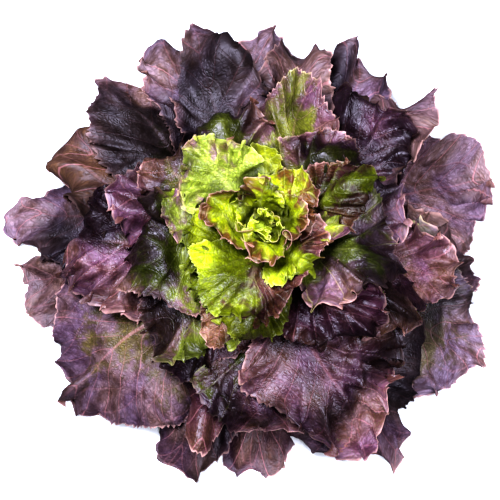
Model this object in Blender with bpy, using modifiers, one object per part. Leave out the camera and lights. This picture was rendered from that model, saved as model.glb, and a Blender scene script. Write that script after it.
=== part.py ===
"""A head of red loose-leaf lettuce, cut from its root and resting on the cut.

Metres, +Z up. The origin is the centre of the flat cut across the stem. Each leaf is a blade of its
own. It is drawn flat, wrapped on one of the bowls nested round the stem, cupped, folded and waved,
and laid over the leaves already there, from the lowest outer leaf to the bud.
"""

import collections
import math

import bmesh
import bpy
import numpy as np
from mathutils import Vector
from mathutils.bvhtree import BVHTree

MM = 0.001

# The stem: radius and height of its outline in mm, from the growing tip down to the flat cut.
STEM_OUTLINE = [
    (0, 80), (3, 79), (6, 75), (9.5, 67), (12.5, 57), (15, 45),
    (16.8, 32), (17.3, 18), (16.5, 6), (15, 0), (0, 0),
]
STEM_SIDES = 24
FIRST_ROOT = 8 * MM
LAST_ROOT = 78.5 * MM
ROOT_GAP = 0.5 * MM

# The bowls on which the leaves lie, from the lowest leaf (share 0) to the bud (share 1): slope where
# the bowl leaves the stem in degrees, radius and height of its far end in mm, and slope there.
Bowl = collections.namedtuple("Bowl", "share rise end_r end_z dip")
BOWLS = [
    Bowl(0.00, 20, 170, 4, -16),
    Bowl(0.15, 25, 168, 14, -16),
    Bowl(0.33, 33, 158, 36, -12),
    Bowl(0.50, 44, 140, 56, -16),
    Bowl(0.66, 54, 114, 78, -16),
    Bowl(0.80, 64, 84, 94, -18),
    Bowl(0.92, 74, 54, 108, -10),
    Bowl(1.00, 84, 16, 118, 50),
]

# A leaf's blade and its rib, which is thickest at the root.
BLADE = 0.8 * MM
RIBS = {"outer": 2.8 * MM, "middle": 2.4 * MM, "heart": 1.8 * MM, "bud": 1.2 * MM}
RIB_HALF_WIDTH = 5.0 * MM
PETIOLE_SHARE = 0.24
TIP_ROUNDING = 0.20
LOBE_SHARE = 0.035
TOOTH = 2.2 * MM

# How leaves are laid on each other.
GAP = 0.6 * MM
FLOOR_GAP = 0.8 * MM
LOOK = 20 * MM
SAMPLES = 4
ROUNDS = 3
NUDGE = 0.3 * MM
MOST_NUDGES = 60

# Rows along a blade by kind of leaf, how they crowd to the tip, and how wide a column may be.
ROWS = {"outer": 8, "middle": 8, "heart": 7, "bud": 5}
WIDEST_COLUMN = 13.0
ROW_CROWDING = 0.82

COLOURS = {
    "outer": (0.085, 0.035, 0.050),
    "middle": (0.13, 0.075, 0.045),
    "heart": (0.38, 0.50, 0.05),
    "bud": (0.50, 0.56, 0.08),
}
STEM_COLOUR = (0.66, 0.70, 0.42)

# The leaves from the lowest to the bud. azimuth is where the midrib points, in degrees, with 0 at +X
# and 90 at +Y, and swing how far the tip turns from it. In mm: reach is the tip's distance from the
# axis, width the blade's, tip how far the tip bends up, cup how far the sides bend up, tilt how far
# one side rises over the other, fold the depth of broad pleats and wave the height of the waves
# along the margin.
Leaf = collections.namedtuple("Leaf", "kind azimuth reach width tip cup tilt swing fold wave")
LEAVES = [
    Leaf("outer", 187, 149, 92, -11, 4, 0, 0, 3, 5),
    Leaf("outer", -92, 137, 88, -11, 2, 0, 0, 3, 5),
    Leaf("outer", 92, 130, 74, 8, 6, 0, 0, 3, 4),
    Leaf("outer", 21, 155, 118, -11, 4, 0, 0, 6, 5),
    Leaf("outer", 170, 163, 72, -11, 4, 0, 0, 4, 5),
    Leaf("outer", -113, 146, 84, -11, 2, 0, 0, 3, 6),
    Leaf("outer", -7, 136, 80, -11, 4, 0, 0, 5, 5),
    Leaf("outer", -27, 152, 112, -14, 2, 0, 0, 4, 5),
    Leaf("outer", -58, 150, 112, -14, 2, 0, 0, 4, 6),
    Leaf("outer", 58, 131, 90, 4, 6, 0, 0, 7, 6),
    Leaf("outer", 152, 134, 66, 4, 14, 0, 0, 3, 4),
    Leaf("outer", -143, 154, 120, -14, 4, 0, 0, 4, 5),
    Leaf("outer", 134, 138, 86, 4, 8, 0, 0, 5, 5),
    Leaf("outer", 78, 126, 40, 8, 8, 0, 0, 7, 4),
    Leaf("outer", 115, 136, 50, 8, 8, 0, 0, 6, 5),
    Leaf("outer", 107, 130, 54, 10, 8, 0, 0, 7, 5),
    Leaf("outer", 42, 134, 42, 4, 12, 0, 0, 6, 4),
    Leaf("middle", 181, 131, 88, -10, 4, 0, 0, 6, 6),
    Leaf("middle", -11, 129, 68, -10, 6, 0, 0, 5, 6),
    Leaf("middle", -108, 123, 62, -12, 4, 0, 0, 4, 6),
    Leaf("middle", 42, 117, 80, -8, 6, 0, 0, 5, 6),
    Leaf("middle", -92, 124, 84, -14, 4, 0, 0, 5, 6),
    Leaf("middle", -22, 112, 36, -10, 8, 0, 0, 5, 6),
    Leaf("middle", -64, 133, 90, -14, 4, 0, 0, 5, 6),
    Leaf("middle", 165, 93, 62, -10, 8, 0, 0, 6, 6),
    Leaf("middle", -122, 101, 56, -12, 6, 0, 0, 7, 7),
    Leaf("middle", -31, 107, 58, -8, 8, 0, 0, 6, 7),
    Leaf("middle", -48, 95, 60, -12, 4, 0, 0, 5, 6),
    Leaf("middle", -136, 95, 78, -14, 4, 0, 0, 5, 6),
    Leaf("middle", 70, 98, 72, -6, 4, 0, 0, 7, 6),
    Leaf("middle", 145, 86, 60, -10, 6, 0, 0, 5, 6),
    Leaf("middle", 110, 84, 60, -6, 6, 0, 0, 6, 6),
    Leaf("middle", 10, 93, 62, -12, 6, 0, 0, 5, 6),
    Leaf("middle", 194, 91, 76, -14, 4, 0, 0, 5, 6),
    Leaf("middle", 45, 76, 62, -8, 4, 0, 0, 5, 5),
    Leaf("middle", -14, 89, 76, -14, 6, 0, 0, 6, 6),
    Leaf("heart", 24, 76, 46, -4, 5, 0, 0, 3, 4),
    Leaf("heart", -110, 76, 34, -8, 4, 0, 0, 4, 4),
    Leaf("heart", -96, 73, 58, -10, 4, 0, 0, 4, 6),
    Leaf("heart", -130, 62, 36, -4, 4, 0, 0, 3, 4),
    Leaf("heart", 170, 60, 44, -6, 4, 0, 0, 4, 5),
    Leaf("heart", 86, 46, 32, 0, 4, 0, 0, 3, 4),
    Leaf("heart", 131, 58, 58, 0, 4, 0, 0, 4, 4),
    Leaf("heart", 0, 52, 36, -2, 4, 0, 0, 4, 5),
    Leaf("heart", -150, 48, 44, -6, 4, 0, 0, 4, 4),
    Leaf("heart", -103, 60, 70, -10, 4, 0, 0, 3, 5),
    Leaf("heart", -40, 46, 54, -8, 4, 0, 0, 3, 5),
    Leaf("heart", 38, 40, 46, -2, 4, 0, 0, 3, 3),
    Leaf("heart", 15, 31, 36, 0, 3, 0, 0, 3, 3),
    Leaf("heart", 178, 27, 34, 0, 3, 0, 0, 3, 3),
    Leaf("heart", 95, 25, 36, 0, 3, 0, 0, 2, 2),
    Leaf("heart", -90, 23, 36, 0, 3, 0, 0, 2, 2),
    Leaf("bud", 150, 12, 26, 1, 1, 0, 0, 1, 2),
    Leaf("bud", -30, 11, 26, 1, 1, 0, 0, 1, 1),
    Leaf("bud", 60, 8, 18, 1, 1, 0, 0, 0, 1),
    Leaf("bud", -120, 6, 14, 0, 1, 0, 0, 0, 1),
]


def smooth(low, high, x):
    """0 below low, 1 above high, and an even rise between them."""
    t = np.clip((x - low) / (high - low), 0, 1)
    return t * t * (3 - 2 * t)


def stem_radius(z):
    """Radius of the stem at the height z."""
    heights = [h * MM for _, h in STEM_OUTLINE[-2::-1]]
    radii = [r * MM for r, _ in STEM_OUTLINE[-2::-1]]
    return np.interp(z, heights, radii, right=0.0)


class Form:
    """The shape of one leaf before it is laid on the others."""

    def __init__(self, leaf, rank):
        self.leaf = leaf
        self.share = rank / (len(LEAVES) - 1)
        self.phases = np.random.default_rng(1000 + rank).uniform(0, 2 * math.pi, 6)
        self.trace_bowl()

    def trace_bowl(self):
        """The bowl's outline as radius, height and slope at distances run from the stem."""
        between = np.array(BOWLS)
        rise, end_r, end_z, dip = (np.interp(self.share, between[:, 0], column) for column in between.T[1:])
        root_z = FIRST_ROOT + (LAST_ROOT - FIRST_ROOT) * self.share
        start = np.array([float(stem_radius(root_z)) + ROOT_GAP, root_z])
        end = np.array([end_r, end_z]) * MM
        handle = 0.38 * np.linalg.norm(end - start)
        rise, dip = math.radians(rise), math.radians(dip)
        first = start + handle * np.array([math.cos(rise), math.sin(rise)])
        second = end - handle * np.array([math.cos(dip), math.sin(dip)])
        t = np.linspace(0, 1.3, 131)[:, None]
        line = (1 - t) ** 3 * start + 3 * (1 - t) ** 2 * t * first
        line += 3 * (1 - t) * t**2 * second + t**3 * end
        steps = np.diff(line, axis=0)
        self.run = np.concatenate([[0], np.cumsum(np.hypot(*steps.T))])
        self.radius, self.rise_z = line[:, 0], line[:, 1]
        self.slope = np.arctan2(np.gradient(self.rise_z, self.run), np.gradient(self.radius, self.run))
        past = np.nonzero(self.radius >= self.leaf.reach * MM)[0]
        last = past[0] if len(past) else len(self.run) - 1
        self.length = float(self.run[last])

    def round_middle(self, u, v):
        """Angle about the blade's middle and closeness to the margin, 0 in the middle and 1 on it."""
        b = (u - 0.42) / 0.58
        close = (np.abs(v) ** 4 + np.clip(b, 0, None) ** 4) ** 0.25
        return np.arctan2(v, b), np.clip(close, 0, 1)

    def flat(self, u, v, tooth):
        """Distances across and along the leaf laid flat."""
        width = self.leaf.width * MM
        spread = PETIOLE_SHARE + (1 - PETIOLE_SHARE) * smooth(0.05, 0.62, u)
        across = v * width / 2 * spread * (1 - 0.10 * smooth(0.7, 1.0, u))
        along = self.length * u * (1 - TIP_ROUNDING * smooth(0.15, 1, u) * np.abs(v) ** 2.3)
        angle, close = self.round_middle(u, v)
        lobe = LOBE_SHARE * width * close**3 * np.sin(6.5 * angle + self.phases[0]) * smooth(0.2, 0.5, u)
        out = lobe + tooth * TOOTH
        return across + out * np.sin(angle), along + out * np.cos(angle)

    def height(self, u, v):
        """How far the leaf stands over its bowl."""
        leaf, p = self.leaf, self.phases
        angle, close = self.round_middle(u, v)
        uneven = 0.7 + 0.45 * np.sin(1.3 * angle + p[1])
        fold = leaf.fold * close * np.sin(3.1 * angle + p[2]) * smooth(0.3, 0.7, u)
        wave = uneven * np.sin(7.6 * angle + 0.8 * np.sin(2 * angle + p[3]) + p[4])
        wave = leaf.wave * wave * close**2.2 * smooth(0.35, 0.75, u)
        cup = leaf.cup * v**2 * smooth(0.2, 0.6, u) + leaf.tilt * v * smooth(0.3, 0.7, u)
        return (fold + wave + cup + leaf.tip * smooth(0.5, 1.0, u) ** 2) * MM

    def place(self, u, v, tooth):
        """Points of the upper face, and the way along which each is lifted off the bowl."""
        across, along = self.flat(u, v, tooth)
        slope = np.interp(along, self.run, self.slope)
        level = np.maximum(np.cos(slope), 0.08)
        apart = np.interp(along, self.run, self.radius) / level
        onward = (np.hypot(apart, across) - apart) * smooth(0, 0.2, u)
        turn = math.radians(self.leaf.azimuth) + math.radians(self.leaf.swing) * u**2
        turn = turn + np.arctan2(across, apart) / level
        run = along + onward
        radius = np.interp(run, self.run, self.radius)
        z = np.interp(run, self.run, self.rise_z)
        slope = np.interp(run, self.run, self.slope)
        beyond = np.maximum(run - self.run[-1], 0)
        radius, z = radius + beyond * np.cos(slope), z + beyond * np.sin(slope)
        radial = np.column_stack([np.cos(turn), np.sin(turn), np.zeros(len(u))])
        way = -radial * np.sin(slope)[:, None] + np.array([0, 0, 1]) * np.cos(slope)[:, None]
        points = radial * radius[:, None] + np.array([0, 0, 1]) * z[:, None]
        return points + way * self.height(u, v)[:, None], way

    def thickness(self, u, v):
        """Thickness of the leaf, from the rib at the root to the thin blade."""
        across, _ = self.flat(u, v, 0)
        rib = RIBS[self.leaf.kind]
        return BLADE + (rib - BLADE) * (1 - u) ** 1.3 * np.exp(-((across / RIB_HALF_WIDTH) ** 2))


def sample_shares():
    """Evenly spread shares of a triangle's three corners."""
    steps = range(SAMPLES + 1)
    return np.array([(i, j, SAMPLES - i - j) for i in steps for j in steps if i + j <= SAMPLES]) / SAMPLES


def lifts_for(points, ways, thickness, triangles, tree):
    """How far each corner has to be lifted for all triangles to clear the leaves already there."""
    shares = sample_shares()
    corners = points[triangles]
    normals = np.cross(corners[:, 1] - corners[:, 0], corners[:, 2] - corners[:, 0])
    normals /= np.maximum(np.linalg.norm(normals, axis=1), 1e-12)[:, None]
    lifts = np.zeros(len(points))
    for triangle, corner, normal in zip(triangles, corners, normals):
        places = shares @ corner
        way = shares @ ways[triangle]
        way /= np.linalg.norm(way, axis=1)[:, None]
        room = (shares @ thickness[triangle] + GAP) / np.maximum(way @ normal, 0.5)
        inward = np.maximum(np.hypot(way[:, 0], way[:, 1]), 1e-3)
        looks = np.minimum(LOOK, np.hypot(places[:, 0], places[:, 1]) / inward)
        for share, p, w, r, look in zip(shares, places, way, room, looks):
            _, _, _, far = tree.ray_cast(Vector(p + w * look), Vector(-w), look + r)
            if far is None:
                continue
            wanted = (look + r - far) * share / (share @ share)
            for k in range(3):
                lifts[triangle[k]] = max(lifts[triangle[k]], wanted[k])
    return lifts


def off_stem_and_floor(points, thickness):
    """The points moved out of the stem and up off the surface that the head lies on."""
    radius = np.maximum(np.hypot(points[:, 0], points[:, 1]), 1e-6)
    wall = np.where(points[:, 2] < STEM_OUTLINE[0][1] * MM, stem_radius(points[:, 2]) + ROOT_GAP, 0)
    points[:, :2] *= (np.maximum(radius, wall) / radius)[:, None]
    points[:, 2] = np.maximum(points[:, 2], FLOOR_GAP + thickness)
    return points


def laid(form, u, v, tooth, triangles, tree):
    """The leaf's corners, lifted wherever a leaf already there is in the way."""
    points, ways = form.place(u, v, tooth)
    thickness = form.thickness(u, v)
    points = off_stem_and_floor(points, thickness)
    for _ in range(ROUNDS):
        lifts = lifts_for(points, ways, thickness, triangles, tree)
        points = off_stem_and_floor(points + ways * lifts[:, None], thickness)
    return points, ways


def blade_mesh(leaf):
    """A flat blade as a mesh of (u, v), with a corner for a tooth in each edge of its margin."""
    rows, columns = ROWS[leaf.kind], min(max(2 * round(leaf.width / WIDEST_COLUMN / 2), 4), 8)
    bm = bmesh.new()
    bmesh.ops.create_grid(bm, x_segments=rows, y_segments=columns, size=0.5)
    for vert in bm.verts:
        vert.co = ((vert.co.x + 0.5) ** ROW_CROWDING, 2 * vert.co.y, 0)
    toothed = [e for e in bm.edges if e.is_boundary and max(w.co.x for w in e.verts) > 0.35]
    made = bmesh.ops.subdivide_edges(bm, edges=toothed, cuts=1)
    teeth = [w for w in made["geom_inner"] if isinstance(w, bmesh.types.BMVert)]
    bmesh.ops.triangulate(bm, faces=bm.faces[:])
    bm.verts.index_update()
    tooth = np.zeros(len(bm.verts))
    tooth[[w.index for w in teeth]] = 1
    return bm, tooth


def make_leaf(form, tree, name, material, collection):
    """A thin solid blade, laid on the solids in the tree."""
    bm, tooth = blade_mesh(form.leaf)
    u = np.array([w.co.x for w in bm.verts])
    v = np.array([w.co.y for w in bm.verts])
    triangles = np.array([[w.index for w in face.verts] for face in bm.faces])
    points, ways = laid(form, u, v, tooth, triangles, tree)
    rib = RIBS[form.leaf.kind]
    deform = bm.verts.layers.deform.new()
    for vert, point, thick in zip(bm.verts, points, form.thickness(u, v)):
        vert[deform][0] = (thick - BLADE) / (rib - BLADE)
        vert.co = point
    mesh = bpy.data.meshes.new(name)
    bm.to_mesh(mesh)
    bm.free()
    leaf = bpy.data.objects.new(name, mesh)
    leaf.vertex_groups.new(name="rib")
    shell = leaf.modifiers.new("thickness", "SOLIDIFY")
    shell.thickness = rib
    shell.offset = -1
    shell.vertex_group = "rib"
    shell.thickness_vertex_group = BLADE / rib
    mesh.materials.append(material)
    collection.objects.link(leaf)
    clear_touching(leaf, ways, tree)
    return leaf


def clear_touching(leaf, ways, tree):
    """Nudges the parts of a leaf that still touch another leaf until none does."""
    vertices = leaf.data.vertices
    for _ in range(MOST_NUDGES):
        corners, triangles = solid_of(leaf)
        touching = BVHTree.FromPolygons(corners, triangles).overlap(tree)
        nudged = {corner % len(vertices) for index, _ in touching for corner in triangles[index]}
        if not nudged:
            return
        for corner in nudged:
            vertices[corner].co += Vector(ways[corner]) * NUDGE
    print(leaf.name, "still touches another leaf")


def make_stem(collection):
    """The stem, turned from its outline, with a flat cut underneath."""
    mesh = bpy.data.meshes.new("stem")
    outline = [(r * MM, 0, h * MM) for r, h in STEM_OUTLINE]
    mesh.from_pydata(outline, [(i, i + 1) for i in range(len(outline) - 1)], [])
    stem = bpy.data.objects.new("stem", mesh)
    turned = stem.modifiers.new("turned", "SCREW")
    turned.steps = STEM_SIDES
    turned.render_steps = STEM_SIDES
    turned.use_merge_vertices = True
    turned.merge_threshold = 0.00005
    mesh.materials.append(make_material("stem", STEM_COLOUR))
    collection.objects.link(stem)
    return stem


def make_material(name, colour):
    """A plain finish of one colour."""
    material = bpy.data.materials.new(name)
    material.use_nodes = True
    finish = material.node_tree.nodes["Principled BSDF"]
    finish.inputs["Base Color"].default_value = (*colour, 1)
    finish.inputs["Roughness"].default_value = 0.45
    finish.inputs["Metallic"].default_value = 0.0
    material.diffuse_color = (*colour, 1)
    return material


def solid_of(obj):
    """Corners and triangles of an object with its modifiers."""
    bpy.context.view_layer.update()
    shown = obj.evaluated_get(bpy.context.evaluated_depsgraph_get())
    mesh = shown.to_mesh()
    mesh.calc_loop_triangles()
    corners = [v.co.copy() for v in mesh.vertices]
    triangles = [tuple(t.vertices) for t in mesh.loop_triangles]
    shown.to_mesh_clear()
    return corners, triangles


def main():
    for obj in list(bpy.data.objects):
        bpy.data.objects.remove(obj)
    head = bpy.data.collections.new("lettuce head")
    bpy.context.scene.collection.children.link(head)
    make_stem(head)
    corners, triangles = [], []
    materials = {kind: make_material(kind + " leaf", colour) for kind, colour in COLOURS.items()}
    counts = collections.Counter()
    for rank, leaf in enumerate(LEAVES):
        tree = BVHTree.FromPolygons(corners, triangles)
        counts[leaf.kind] += 1
        name = f"{leaf.kind}_leaf_{counts[leaf.kind]:02d}"
        made = make_leaf(Form(leaf, rank), tree, name, materials[leaf.kind], head)
        more, faces = solid_of(made)
        triangles += [tuple(i + len(corners) for i in face) for face in faces]
        corners += more
    print(len(LEAVES), "leaves,", len(triangles), "triangles")


main()
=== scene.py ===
"""The looks of a head of red loose-leaf lettuce.

Each leaf's solid in the frame is replaced by a fine blade that follows it: the solid's corners are
read from the frame, joined by a smooth surface, and this surface gets blisters, veins, ruffles,
curled margins and teeth. Distances are in metres, or in mm where a name or comment says so.
"""

import collections
import math

import bmesh
import bpy
import numpy as np
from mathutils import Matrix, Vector
from mathutils.bvhtree import BVHTree

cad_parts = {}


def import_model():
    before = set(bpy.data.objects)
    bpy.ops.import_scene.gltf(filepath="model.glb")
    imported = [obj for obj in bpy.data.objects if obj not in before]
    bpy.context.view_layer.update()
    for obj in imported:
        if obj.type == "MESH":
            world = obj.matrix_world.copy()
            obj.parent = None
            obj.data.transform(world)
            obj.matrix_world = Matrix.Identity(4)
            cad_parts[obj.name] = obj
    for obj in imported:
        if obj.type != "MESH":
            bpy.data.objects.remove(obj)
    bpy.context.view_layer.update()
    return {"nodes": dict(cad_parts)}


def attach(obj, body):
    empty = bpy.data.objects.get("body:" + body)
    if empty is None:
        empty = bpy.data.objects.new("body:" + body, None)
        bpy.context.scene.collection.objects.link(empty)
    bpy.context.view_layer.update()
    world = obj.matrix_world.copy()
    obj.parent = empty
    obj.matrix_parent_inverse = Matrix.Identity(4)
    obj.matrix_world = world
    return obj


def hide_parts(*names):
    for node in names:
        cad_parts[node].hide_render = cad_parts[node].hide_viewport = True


MM = 0.001
KINDS = ("outer", "middle", "heart", "bud")


def by_kind(*values):
    """Values for outer, middle, heart and bud leaves."""
    return dict(zip(KINDS, values))


# The stem, bowls and leaves of the solids, by which each blade finds its own solid. The stem's
# outline is radius and height in mm. Roots lie from FIRST_ROOT to LAST_ROOT up the stem.
STEM_OUTLINE = [
    (0, 80), (3, 79), (6, 75), (9.5, 67), (12.5, 57), (15, 45),
    (16.8, 32), (17.3, 18), (16.5, 6), (15, 0), (0, 0),
]
FIRST_ROOT = 8 * MM
LAST_ROOT = 78.5 * MM
ROOT_GAP = 0.5 * MM
FLOOR_GAP = 0.3 * MM

# Each leaf lies on a bowl, turned round the stem from a curve. Its rows: how much of the head lies
# below it, its slope at the stem in degrees, its far end's radius and height in mm, and its slope
# there in degrees.
BOWLS = [
    (0.00, 20, 170, 4, -16),
    (0.15, 25, 168, 14, -16),
    (0.33, 33, 158, 36, -12),
    (0.50, 44, 140, 56, -16),
    (0.66, 54, 114, 78, -16),
    (0.80, 64, 84, 94, -18),
    (0.92, 74, 54, 108, -10),
    (1.00, 84, 16, 118, 50),
]

# The flat leaf: its width at the root as a share of the whole, how much its tip and its lobes
# change it, and where along it the round part starts and how long that is.
PETIOLE_SHARE = 0.24
TIP_ROUNDING = 0.20
LOBE_SHARE = 0.035
MIDDLE = 0.42
MIDDLE_REACH = 0.58

# Rows and columns of the solids' corners, by kind of leaf and width in mm.
ROWS = by_kind(8, 8, 7, 5)
WIDEST_COLUMN = 13.0
ROW_CROWDING = 0.82

# Leaves from the lowest to the bud. First the solid: degrees round the stem, then in mm its reach
# and width, how far the tip rises and the blade cups, and the height of its folds and waves. Then
# the looks. red: share of the blade that is red, warm: brown rather than purple, fresh: how bright
# the green is, pale: bloom on the blade, a waxy bloom that is partly a painted lilac sheen. In mm:
# height of the blisters, of the pleats along the side veins and of the ruffles. curl: how far the
# margin turns over. slant: how much redder the left half is, seen from the stem, and 0 where it is
# not given.
Leaf = collections.namedtuple(
    "Leaf",
    "kind azimuth reach width tip cup fold wave "
    "red warm fresh pale blister pleat ruffle curl slant",
    defaults=(0,),
)
OUTER = [
    (187, 149, 92, -11, 4, 3, 5, 0.88, 0.9, 0.1, 0.25, 0.7, 0.8, 2.5, 0.3),
    (-92, 137, 88, -11, 2, 3, 5, 0.97, 0.3, 0.1, 0.05, 0.8, 0.5, 1.6, 0.4),
    (92, 130, 74, 8, 6, 3, 4, 0.56, 0.4, 0.3, 1, 1, 0.5, 2, 0.1),
    (21, 155, 118, -11, 4, 6, 5, 0.74, 0.5, 0.1, 0.7, 0.9, 1, 2.6, 0.15),
    (170, 163, 72, -11, 4, 4, 5, 0.92, 0.2, 0.1, 0.65, 0.7, 0.8, 3, 0.4),
    (-113, 146, 84, -11, 2, 3, 6, 0.84, 0.35, 0.05, 0.1, 0.8, 0.5, 2, 0.4),
    (-7, 136, 80, -11, 4, 5, 5, 0.9, 0.6, 0.1, 0.4, 0.7, 0.8, 2.2, 0.3),
    (-27, 152, 112, -14, 2, 4, 5, 0.36, 0.5, 0, 1, 0.8, 1, 3, 0.2),
    (-58, 150, 112, -14, 2, 4, 6, 0.78, 0.4, 0.1, 0.45, 0.8, 1, 3.2, 0.6),
    (58, 131, 90, 4, 6, 7, 6, 0.88, 0.25, 0.1, 0.9, 0.8, 1.8, 3, 0.15),
    (152, 134, 66, 4, 14, 3, 4, 0.86, 0.9, 0.2, 0, 0.7, 0.8, 2.2, 0.5),
    (-143, 154, 120, -14, 4, 4, 5, 0.55, 0.3, 0, 0.35, 1, 0.8, 2.8, 0.4),
    (134, 138, 86, 4, 8, 5, 5, 0.7, 0.8, 0.25, 0.6, 1.4, 0.6, 2.8, 0.2),
    (78, 126, 40, 8, 8, 7, 4, 0.85, 0.7, 0.3, 0.5, 0.8, 1, 2.5, 0.4),
    (115, 136, 50, 8, 8, 6, 5, 0.9, 0.5, 0.2, 0.9, 0.8, 1.8, 2.8, 0.6),
    (107, 130, 54, 10, 8, 7, 5, 0.85, 0.6, 0.2, 0.8, 0.6, 1.8, 2.8, 0.4),
    (42, 134, 42, 4, 12, 6, 4, 0.88, 0.7, 0.2, 0.35, 0.7, 1.2, 2.2, 0.5),
]
MIDDLES = [
    (181, 131, 88, -10, 4, 6, 6, 0.88, 0.25, 0.2, 0.6, 2.8, 0.6, 3, 0.8),
    (-11, 129, 68, -10, 6, 5, 6, 0.72, 0.5, 0.1, 0.5, 1, 0.8, 2.4, 0.4),
    (-108, 123, 62, -12, 4, 4, 6, 0.95, 0.3, 0.2, 0.1, 1.2, 0.6, 2.8, 0.7),
    (42, 117, 80, -8, 6, 5, 6, 0.9, 0.1, 0.2, 0.5, 3, 0.6, 2.8, 0.6),
    (-92, 124, 84, -14, 4, 5, 6, 0.86, 0.3, 0.8, 0.45, 3, 0.8, 3.2, 0.6, 1),
    (-22, 112, 36, -10, 8, 5, 6, 0.95, 0.15, 0.2, 0.15, 1.4, 0.6, 2.8, 0.6),
    (-64, 133, 90, -14, 4, 5, 6, 0.82, 0.4, 0.15, 0.6, 2.6, 0.8, 3, 0.5, 0.1),
    (165, 93, 62, -10, 8, 6, 6, 0.92, 0.2, 0.2, 0.5, 1.4, 0.6, 3, 0.9),
    (-122, 101, 56, -12, 6, 7, 7, 0.92, 0.4, 0.3, 0.15, 1.4, 0.6, 3.4, 0.9),
    (-31, 107, 58, -8, 8, 6, 7, 0.86, 0.8, 0.3, 0.5, 1.2, 0.6, 3, 0.6),
    (-48, 95, 60, -12, 4, 5, 6, 0.94, 0.15, 0.3, 0.1, 2.8, 0.6, 2.8, 0.5),
    (-136, 95, 78, -14, 4, 5, 6, 0.58, 0.8, 0.65, 0.6, 2, 0.6, 3, 0.6, -1.1),
    (70, 98, 72, -6, 4, 7, 6, 0.46, 0.3, 0.42, 0.35, 1.4, 1.8, 2.8, 0.4, -0.2),
    (145, 86, 60, -10, 6, 5, 6, 0.62, 0.7, 0.45, 0.35, 1.3, 0.8, 3, 0.4),
    (110, 84, 60, -6, 6, 6, 6, 0.55, 0.4, 0.7, 0.4, 1.3, 1.2, 3.2, 0.6, -0.3),
    (10, 93, 62, -12, 6, 5, 6, 0.66, 0.4, 0.3, 1, 1.2, 1, 3, 0.9),
    (194, 91, 76, -14, 4, 5, 6, 0.58, 0.9, 0.8, 0.6, 1.4, 0.8, 3, 0.7),
    (45, 76, 62, -8, 4, 5, 5, 0.42, 0.3, 0.5, 0.3, 2, 2, 2.8, 0.6),
    (-14, 89, 76, -14, 6, 6, 6, 0.56, 0.4, 0.6, 0.8, 2.2, 0.6, 2, 0),
]
HEART = [
    (24, 76, 46, -4, 5, 3, 4, 0.62, 0.5, 1, 0.1, 1.4, 4, 1.8, 0.4),
    (-110, 76, 34, -8, 4, 4, 4, 0.72, 0.8, 0.6, 0.3, 1, 0.6, 2.2, 0.9),
    (-96, 73, 58, -10, 4, 4, 6, 0.1, 0.2, 0.74, 0, 1, 0.6, 3, 0.4),
    (-130, 62, 36, -4, 4, 3, 4, 0.42, 0.4, 0.95, 0.2, 1, 0.6, 2.8, 0.6),
    (170, 60, 44, -6, 4, 4, 5, 0.44, 0.2, 0.75, 0.8, 1, 0.6, 2.4, 0.6),
    (86, 46, 32, 0, 4, 3, 4, 0.22, 0.3, 0.75, 0, 1, 0.6, 1.8, 0.3),
    (131, 58, 58, 0, 4, 4, 4, 0.4, 0.7, 0.8, 1, 1.2, 0.8, 2.6, 0.5, 0.3),
    (0, 52, 36, -2, 4, 4, 5, 0.58, 0.2, 0.9, 0.5, 1, 0.6, 2.4, 0.9),
    (-150, 48, 44, -6, 4, 4, 4, 0.22, 0.3, 0.85, 0, 1, 1, 2.2, 0.4),
    (-103, 60, 70, -10, 4, 3, 5, 0.5, 0.3, 1, 0.1, 2.4, 0.6, 1.8, 0.4, 1.6),
    (-40, 46, 54, -8, 4, 3, 5, 0.52, 0.3, 1, 0.15, 1.4, 0.5, 2, 0.4, 0.9),
    (38, 40, 46, -2, 4, 3, 3, 0.4, 0.5, 1, 0, 1.2, 2.2, 1.6, 0.3, -0.7),
    (15, 31, 36, 0, 3, 3, 3, 0.4, 0.6, 0.9, 0, 1, 0.6, 2.6, 0.25),
    (178, 27, 34, 0, 3, 3, 3, 0.4, 0.7, 0.9, 0, 1, 0.6, 2.6, 0.2),
    (95, 25, 36, 0, 3, 2, 2, 0.38, 0.9, 0.9, 0, 1, 0.6, 2.4, 0.15),
    (-90, 23, 36, 0, 3, 2, 2, 0.4, 0.9, 0.9, 0, 1, 0.6, 2.6, 0.2),
]
BUD = [
    (150, 12, 26, 1, 1, 1, 2, 0.4, 0.9, 0.9, 0, 0.5, 0.4, 2, 0.3),
    (-30, 11, 26, 1, 1, 1, 1, 0.4, 0.9, 0.9, 0, 0.5, 0.4, 2, 0.3),
    (60, 8, 18, 1, 1, 0, 1, 0.34, 0.9, 0.9, 0, 0.4, 0.3, 1.6, 0.3),
    (-120, 6, 14, 0, 1, 0, 1, 0.26, 0.9, 0.9, 0, 0.4, 0.3, 1.4, 0.1),
]
LEAF_ROWS = by_kind(OUTER, MIDDLES, HEART, BUD)
LEAVES = [Leaf(kind, *row) for kind in KINDS for row in LEAF_ROWS[kind]]

# Thickness of the fine blade in its middle and at its margin, and of the rib at the root.
BLADE = 0.55 * MM
MARGIN = 0.30 * MM
RIBS = by_kind(2.8 * MM, 2.4 * MM, 1.8 * MM, 1.2 * MM)
RIB_HALF_WIDTH = 5.0 * MM

# Steps of the smooth surface between two corners of the solid, the gap kept between surfaces, and
# how often a surface is lifted off those below.
STEPS = 3
GAP = 0.35 * MM
LIFT_ROUNDS = 2

# Rays: how far they look for solids and leaves, for room over and under a leaf and for leaves that
# hide the sky, how far off a leaf they start, and their ways to the sky beside its normal.
LOOK = 60 * MM
MOST_ROOM = 30 * MM
SKY = 60 * MM
RAY_START = 0.08 * MM
SKY_RAYS = [
    np.array([math.cos(turn) * flat, math.sin(turn) * flat, 0.9])
    for flat in (0.35, 0.95)
    for turn in np.arange(5) * 2 * math.pi / 5 + flat
]

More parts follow.
